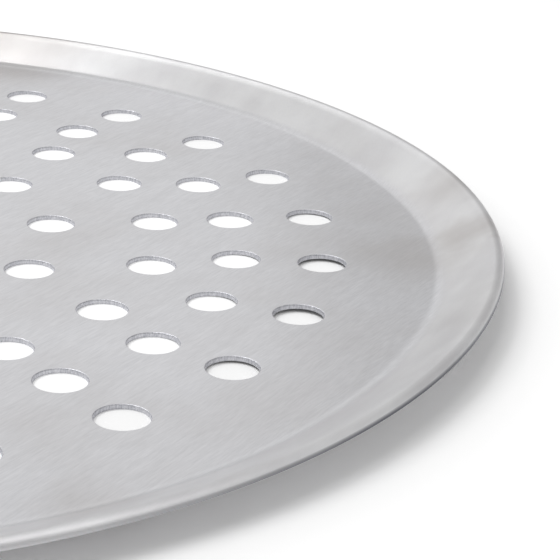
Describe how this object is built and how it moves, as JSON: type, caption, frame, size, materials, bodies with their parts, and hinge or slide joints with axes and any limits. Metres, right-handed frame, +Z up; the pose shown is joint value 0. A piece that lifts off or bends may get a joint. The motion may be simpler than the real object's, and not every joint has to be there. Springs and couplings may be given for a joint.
{
  "type": "perforated pizza pan",
  "caption": "Round flat pizza pan of sheet aluminium with rings of punched holes through its base and a low sloping rim with a turned-down lip.",
  "frame": {"origin": "centre of the base's underside, where the pan's axis meets the surface it stands on", "axes": "+Z up along the pan's axis, towards the open side; +X along the line on which every ring has a hole"},
  "size_m": [0.305, 0.305, 0.0075],
  "materials": {
    "sheet": "brushed satin, bare metal"
  },
  "bodies": {
    "root": {"pan": "sheet"}
  },
  "joints": []
}
